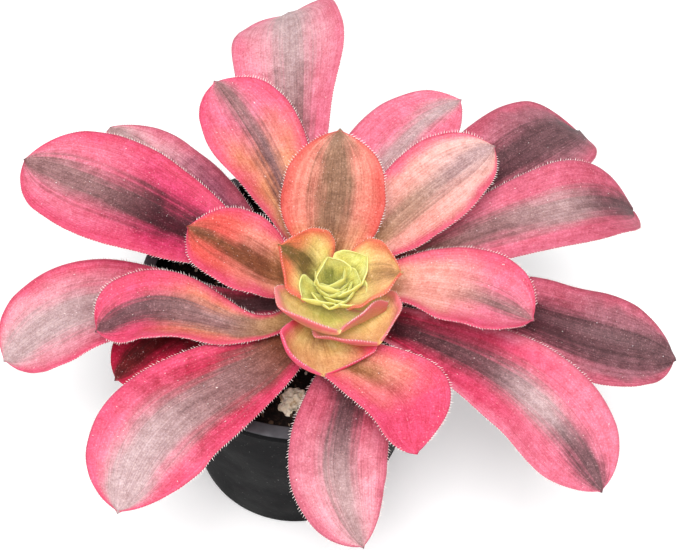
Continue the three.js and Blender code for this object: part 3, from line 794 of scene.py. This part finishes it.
climbed = steps.scaled(given["Lean"], steps.times(climb, MM))
place = steps.vector_math("ADD", given["Seat"], climbed)
place = steps.vector_math("ADD", place, steps.scaled(out, MM))


def lessened(loss, least):
    """A size that falls evenly from leaf to leaf, but never under the least"""
    return steps.math("MAXIMUM", steps.minus(1.0, steps.times(share, loss)), least)


length = lessened(1 - HEART_SHORTEST / HEART_LONGEST, given["Shortest"])
breadth = lessened(1 - HEART_NARROWEST / HEART_WIDEST, given["Narrowest"])
beside = steps.vector_math("CROSS_PRODUCT", (0, 0, 1), direction)
turned = steps.add("FunctionNodeAxesToRotation", {0: direction, 1: beside}, primary_axis="X",
                   secondary_axis="Y").outputs[0]
spots = steps.add("GeometryNodePoints", {"Count": given["Leaves"], "Position": place}).outputs[0]
rosette = steps.copies(spots, given["Geometry"], Rotation=turned,
                       Scale=steps.combine(length, breadth, breadth))
end_tree(steps, rosette, heart_skin)

bud_leaf = dict(root=(0, 0, 0), tip=(HEART_LONGEST, 0, 0), width=HEART_WIDEST,
                arch=BUD_ARCH * HEART_LONGEST, cup=60, age=0)
points, faces, traits, _ = blade(bud_leaf, 2, rows=30, columns=16, thin=0.5, lively=0.3)
holder = mesh_piece("bud leaf", points, faces, attributes=traits)
dress(run_tree("heart_rosette", tree, holder, Leaves=HEART_LEAVES), "heart_leaf", "heart")

# %% [markdown]
# The stem is short and woody, and leans to the front right. A tube with slow swellings and
# closely set leaf scars is enough, since the leaves hide most of it.

# %% The stem
STEM_FOOT_RADIUS, STEM_RADIUS, STEM_TIP_RADIUS = 5.5, 7.0, 4.5
stem_bark, steps, shader = start_material("stem bark", roughness=0.8, specular=0.25)
spot = steps.spot()
bark = steps.noise(spot, 420.0, 6.0, 0.65)
bark_color = steps.ramp(bark, [(0.3, "#4a3a2a"), (0.5, "#6f5a40"), (0.7, "#9a8a66")])
steps.connect(bark_color, shader.inputs["Base Color"])
link_bump(steps, shader, bark, 0.6, 0.0006)

STEM_ROWS, STEM_SIDES = 90, 48
SCAR_DEPTH = 0.28
t = np.linspace(0, 1, STEM_ROWS)
line = stem_line(t)
ahead = unit(np.gradient(line, axis=0))
across_stem = unit(np.array([1.0, 0, 0]) - ahead[:, :1] * ahead)
beside_stem = np.cross(ahead, across_stem)
radius = STEM_FOOT_RADIUS + (STEM_RADIUS - STEM_FOOT_RADIUS) * smooth(t, 0, 0.5)
radius = radius + (STEM_TIP_RADIUS - radius) * smooth(t, 0.6, 1)
turn = np.linspace(0, 2 * math.pi, STEM_SIDES, endpoint=False)
scars = SCAR_DEPTH * np.sin(5 * turn[None] + 1.9 * line[:, 2:3]) * np.sin(2.4 * line[:, 2:3])
ring = radius[:, None] + scars - SCAR_DEPTH
points = (line[:, None] + (ring * np.cos(turn))[..., None] * across_stem[:, None]
          + (ring * np.sin(turn))[..., None] * beside_stem[:, None])
points = np.concatenate([points.reshape(-1, 3), line[:1], line[-1:]])
dress(mesh_piece("woody_stem", points, ring_faces(STEM_ROWS, STEM_SIDES), stem_bark),
      "stem_bark", "stem")
print("stem from", line[0].round(), "to", line[-1].round())

# %% [markdown]
# The pot is a thin moulded nursery pot with a flat rim. It is turned from its outline, which is
# the fine version of the solid's, with every corner eased as a mould eases it. The drain holes in
# its foot are drilled by a geometry tree, from their number, their ring and their size.

# %% The pot
POT_HEIGHT, RIM_RADIUS, RIM_OVERHANG, RIM_DEPTH = 92.0, 50.0, 2.4, 4.0
FOOT_RADIUS, FOOT_ROUNDING, POT_WALL, POT_FLOOR = 35.0, 1.6, 1.4, 1.6
DRAIN_HOLES, DRAIN_RADIUS = 8, 3.0
POT_SIDES = 160
# Heights between which the top of the rim gets a painted highlight
LIT_RIM_FROM, LIT_RIM_TO = 91.4, 91.9

pot_plastic, steps, shader = start_material("pot plastic", roughness=0.45, specular=0.06)
shader.inputs["IOR"].default_value = 1.2
spot = steps.spot()
haze = steps.noise(spot, 55.0, 4.0, 0.6)
dust = steps.noise(spot, 1100.0, 3.0, 0.55)
x, y, z = steps.split(spot)
drawn_down = steps.combine(steps.times(x, 900), steps.times(y, 900), steps.times(z, 60))
scuff = steps.noise(drawn_down, 1.0, 3.0)
plastic = steps.ramp(haze, [(0.3, "#070708"), (0.7, "#0e0e10")])
plastic = steps.mix(steps.fade(scuff, 0.6, 0.8, 0.0, 0.16), plastic, color("#303034"))
plastic = steps.mix(steps.fade(dust, 0.68, 0.76, 0.0, 0.7), plastic, color("#8d8a88"))
# The flat top of the rim is painted lighter grey in patches: a painted highlight where the light
# falls on it.
lit_rim_top = steps.times(steps.fade(z, LIT_RIM_FROM * MM, LIT_RIM_TO * MM),
                   steps.fade(haze, 0.35, 0.6, 0.35, 0.8))
plastic = steps.mix(lit_rim_top, plastic, color("#6e6e72"))
steps.connect(plastic, shader.inputs["Base Color"])
steps.connect(steps.fade(haze, 0.3, 0.7, 0.42, 0.56), shader.inputs["Roughness"])
link_bump(steps, shader, steps.plus(dust, scuff), 0.12, 0.0003)


def rounded(corners, radius=0.45, pieces=4):
    """An outline with each corner cut by a small arc"""
    points = []
    for before, here, after in zip(corners[:-2], corners[1:-1], corners[2:]):
        a, b, c = (np.array(p, float) for p in (before, here, after))
        cut = min(radius, 0.4 * np.linalg.norm(a - b), 0.4 * np.linalg.norm(c - b))
        start, end = b + cut * unit(a - b), b + cut * unit(c - b)
        for k in np.linspace(0, 1, pieces):
            points.append(start * (1 - k) ** 2 + 2 * b * k * (1 - k) + end * k * k)
    return points


wall_top = RIM_RADIUS - RIM_OVERHANG
shoulder = POT_HEIGHT - RIM_DEPTH
corners = [(0, 0), (FOOT_RADIUS - FOOT_ROUNDING, 0), (FOOT_RADIUS, FOOT_ROUNDING),
           (wall_top, shoulder), (RIM_RADIUS, shoulder + 0.6), (RIM_RADIUS, POT_HEIGHT),
           (wall_top - POT_WALL, POT_HEIGHT), (FOOT_RADIUS - POT_WALL, POT_FLOOR), (0, POT_FLOOR)]
profile = np.array(rounded(corners))
turn = np.linspace(0, 2 * math.pi, POT_SIDES, endpoint=False)
points = np.stack([profile[:, :1] * np.cos(turn), profile[:, :1] * np.sin(turn),
                   np.repeat(profile[:, 1:], POT_SIDES, axis=1)], -1).reshape(-1, 3)
points = np.concatenate([points, [[0, 0, 0], [0, 0, POT_FLOOR]]])
holder = mesh_piece("pot shell", points, ring_faces(len(profile), POT_SIDES))

tree, steps, given = start_tree("drain holes", Holes=4,
                                Ring=(FOOT_RADIUS - POT_WALL - 2 * DRAIN_RADIUS) * MM,
                                Radius=DRAIN_RADIUS * MM, Depth=4 * POT_FLOOR * MM)
ring = steps.add("GeometryNodeMeshCircle", {"Vertices": given["Holes"],
                 "Radius": given["Ring"]}).outputs[0]
drill = steps.add("GeometryNodeMeshCylinder", {"Vertices": 32, "Radius": given["Radius"],
                  "Depth": given["Depth"]}).outputs[0]
drills = steps.copies(ring, drill)
drills = steps.add("GeometryNodeRealizeInstances", {0: drills}).outputs[0]
drilled = steps.add("GeometryNodeMeshBoolean", {"Mesh 1": given["Geometry"], "Mesh 2": drills},
                    operation="DIFFERENCE").outputs[0]
end_tree(steps, drilled, pot_plastic)
dress(run_tree("nursery_pot", tree, holder, Holes=DRAIN_HOLES), "pot_plastic", "pot")

# %% [markdown]
# Potting soil is dark peat with lumps of many sizes. The large lumps could be sculpted, but a
# smooth rule with some noise on it gives the bed the same ground as the solid's.

# %% The soil
SOIL_LEVEL = POT_HEIGHT - 9
SOIL_LUMP, SOIL_CRUMB, SOIL_DIP = 0.9, 0.75, 1.2
SOIL_GAP, SOIL_FOOT = 0.6, POT_FLOOR + 0.3
SOIL_RINGS, SOIL_SIDES = 56, 150


def soil_height(x, y):
    lumps = math.sin(0.55 * x + 1.3) * math.cos(0.48 * y) + 0.7 * math.sin(0.9 * y + 0.4 * x + 2)
    return SOIL_LEVEL + SOIL_LUMP * lumps - SOIL_DIP * (math.hypot(x, y) / RIM_RADIUS) ** 4


def crumbly(x, y):
    fine = noise.fractal(Vector((0.35 * x, 0.35 * y, 1.7)), 0.7, 2.1, 5)
    return soil_height(x, y) + SOIL_CRUMB * fine


peat, steps, shader = start_material("peat", roughness=0.95, specular=0.15)
spot = steps.spot()
crumb = steps.noise(spot, 700.0, 6.0, 0.7)
peat_color = steps.ramp(crumb, [(0.3, "#0d0908"), (0.55, "#211713"), (0.75, "#4a372b")])
steps.connect(peat_color, shader.inputs["Base Color"])
link_bump(steps, shader, crumb, 1.0, 0.0012)

inner_top = RIM_RADIUS - RIM_OVERHANG - POT_WALL
slope = (SOIL_LEVEL - POT_FLOOR) / (POT_HEIGHT - POT_FLOOR)
brim = FOOT_RADIUS - POT_WALL + (inner_top - FOOT_RADIUS + POT_WALL) * slope - SOIL_GAP
turn = np.linspace(0, 2 * math.pi, SOIL_SIDES, endpoint=False)
bed = []
for r in np.linspace(1 / SOIL_RINGS, 1, SOIL_RINGS):
    for a in turn:
        x, y = brim * r * math.cos(a), brim * r * math.sin(a)
        bed.append((x, y, crumbly(x, y)))
foot = FOOT_RADIUS - POT_WALL - SOIL_GAP
bed += [(foot * math.cos(a), foot * math.sin(a), SOIL_FOOT) for a in turn]
bed += [(0, 0, crumbly(0, 0)), (0, 0, SOIL_FOOT)]
dress(mesh_piece("peat_bed", bed, ring_faces(SOIL_RINGS + 1, SOIL_SIDES), peat),
      "potting_soil", "soil")

# %% [markdown]
# Loose crumbs, fibres and a little pale grit lie on the bed. Noise alone would look like dough,
# so a geometry tree strews small broken balls on it, each with its own size, turn and colour.

# %% Crumbs and grit on the soil
grit, steps, shader = start_material("crumbs and grit", roughness=0.9, specular=0.2)
kind = steps.add("ShaderNodeAttribute", attribute_name="kind").outputs["Fac"]
spot = steps.spot()
own = steps.ramp(kind, [(0.0, "#120c0a"), (0.45, "#2c1f18"), (0.8, "#5b4636"),
                        (0.93, "#8f7f6d"), (1.0, "#cfc3ae")])
speckle = steps.ramp(steps.noise(spot, 1500.0, 3.0), [(0.3, grey(0.2)), (0.7, grey(0.8))])
steps.connect(steps.mix(0.5, own, speckle, "SOFT_LIGHT"), shader.inputs["Base Color"])

tree, steps, given = start_tree("crumbs", Density=160000.0, Size=0.75 * MM, Roughness=0.4 * MM,
                                Seed=0)
spots = steps.add("GeometryNodeDistributePointsOnFaces", {"Mesh": given["Geometry"],
                  "Density": given["Density"], "Seed": given["Seed"]}).outputs[0]
crumb = steps.add("GeometryNodeMeshIcoSphere", {"Radius": given["Size"],
                  "Subdivisions": 2}).outputs[0]
turned = steps.random((0, 0, 0), (6.3, 6.3, 6.3), given["Seed"])
sizes = steps.random((0.25, 0.25, 0.25), (1.7, 1.1, 0.9), given["Seed"])
strewn = steps.copies(spots, crumb, Rotation=turned, Scale=sizes)
kinds = steps.random(0.0, 1.0, given["Seed"])
strewn = steps.add("GeometryNodeStoreNamedAttribute", {0: strewn, "Name": "kind", "Value": kinds},
                   data_type="FLOAT", domain="INSTANCE").outputs[0]
real = steps.add("GeometryNodeRealizeInstances", {0: strewn}).outputs[0]
where = steps.add("GeometryNodeInputPosition").outputs[0]
bumps = steps.add("ShaderNodeTexNoise", {"Vector": where, "Scale": 900.0}).outputs["Color"]
push = steps.scaled(steps.vector_math("SUBTRACT", bumps, (0.5, 0.5, 0.5)), given["Roughness"])
rough = steps.add("GeometryNodeSetPosition", {0: real, "Offset": push}).outputs[0]
end_tree(steps, rough, grit, smooth_faces=False)

top = bed[:SOIL_RINGS * SOIL_SIDES]
patch = []
for r in range(3, SOIL_RINGS - 3):
    inner, outer = r * SOIL_SIDES, (r + 1) * SOIL_SIDES
    for k in range(SOIL_SIDES):
        n = (k + 1) % SOIL_SIDES
        patch.append((inner + k, outer + k, outer + n, inner + n))
holder = mesh_piece("soil top", top, patch)
dress(run_tree("soil_crumbs", tree, holder, Seed=11), "potting_soil")

# %% [markdown]
# Pumice is glassy foam: pale, pitted, and broken into angular lumps. Each stone starts from the
# same dented ball as its solid, with many more faces, and gets ridges and pits from noise.

# %% The pumice
PUMICE = [((1, -33), 9), ((24, -27), 5), ((-29, 16), 6), ((12, 32), 7), ((36, 8), 5)]

foam, steps, shader = start_material("pumice foam", roughness=0.95, specular=0.15)
spot = steps.spot()
pits = steps.add("ShaderNodeTexVoronoi", {"Vector": spot, "Scale": 900.0}).outputs["Distance"]
stain = steps.noise(spot, 330.0, 4.0, 0.6)
foam_color = steps.ramp(stain, [(0.3, "#c3a47c"), (0.5, "#ecdcc2"), (0.7, "#f8f0e2")])
foam_color = steps.mix(steps.fade(pits, 0.2, 0.04, 0.0, 0.5), foam_color, color("#7d6146"))
steps.connect(foam_color, shader.inputs["Base Color"])
link_bump(steps, shader, pits, 0.8, 0.0008)


def pumice_stone(name, at, breadth):
    mesh = bpy.data.meshes.new(name)
    ball = bpy.data.objects.new(name, mesh)
    shape = bmesh.new()
    bmesh.ops.create_icosphere(shape, subdivisions=5, radius=breadth / 2)
    for vertex in shape.verts:
        x, y, z = vertex.co
        dent = 1 + 0.14 * math.sin(1.7 * x + at[0]) * math.cos(1.9 * y + at[1])
        dent += 0.1 * math.sin(2.3 * z)
        stretched = Vector((1.6 * x + at[0], 0.5 * y + at[1], 1.1 * z))
        dent += 0.03 * (noise.ridged_multi_fractal(stretched, 0.7, 2.4, 5, 1.0, 2.0) - 1.2)
        vertex.co = Vector((x * dent + at[0], y * dent + at[1],
                            0.75 * z * dent + soil_height(*at) + 0.1 * breadth)) * MM
    shape.to_mesh(mesh)
    shape.free()
    mesh.polygons.foreach_set("use_smooth", [True] * len(mesh.polygons))
    mesh.materials.append(foam)
    show(ball)
    return ball


for n, (at, breadth) in enumerate(PUMICE):
    dress(pumice_stone(f"pumice_stone_{n + 1}", at, breadth), "pumice", f"pumice_{n + 1}")
print(len(PUMICE), "pumice stones")

# %% [markdown]
# The plant stands alone on a plain white floor, as the photograph shows it on white.

# %% The floor
floor_white, steps, shader = start_material("floor white", roughness=0.9, specular=0.1)
cloud = steps.ramp(steps.noise(steps.spot(), 3.0), [(0.3, grey(0.9)), (0.7, grey(0.94))])
steps.connect(cloud, shader.inputs["Base Color"])
shader.inputs["Emission Color"].default_value = grey(1)
shader.inputs["Emission Strength"].default_value = 0.2
FLOOR_REACH, FLOOR_LEVEL = 3000, -0.2
corners = [(x * FLOOR_REACH, y * FLOOR_REACH, FLOOR_LEVEL)
           for x, y in ((-1, -1), (1, -1), (1, 1), (-1, 1))]
floor = mesh_piece("floor", corners, [(0, 1, 2, 3)], floor_white, smooth=False)
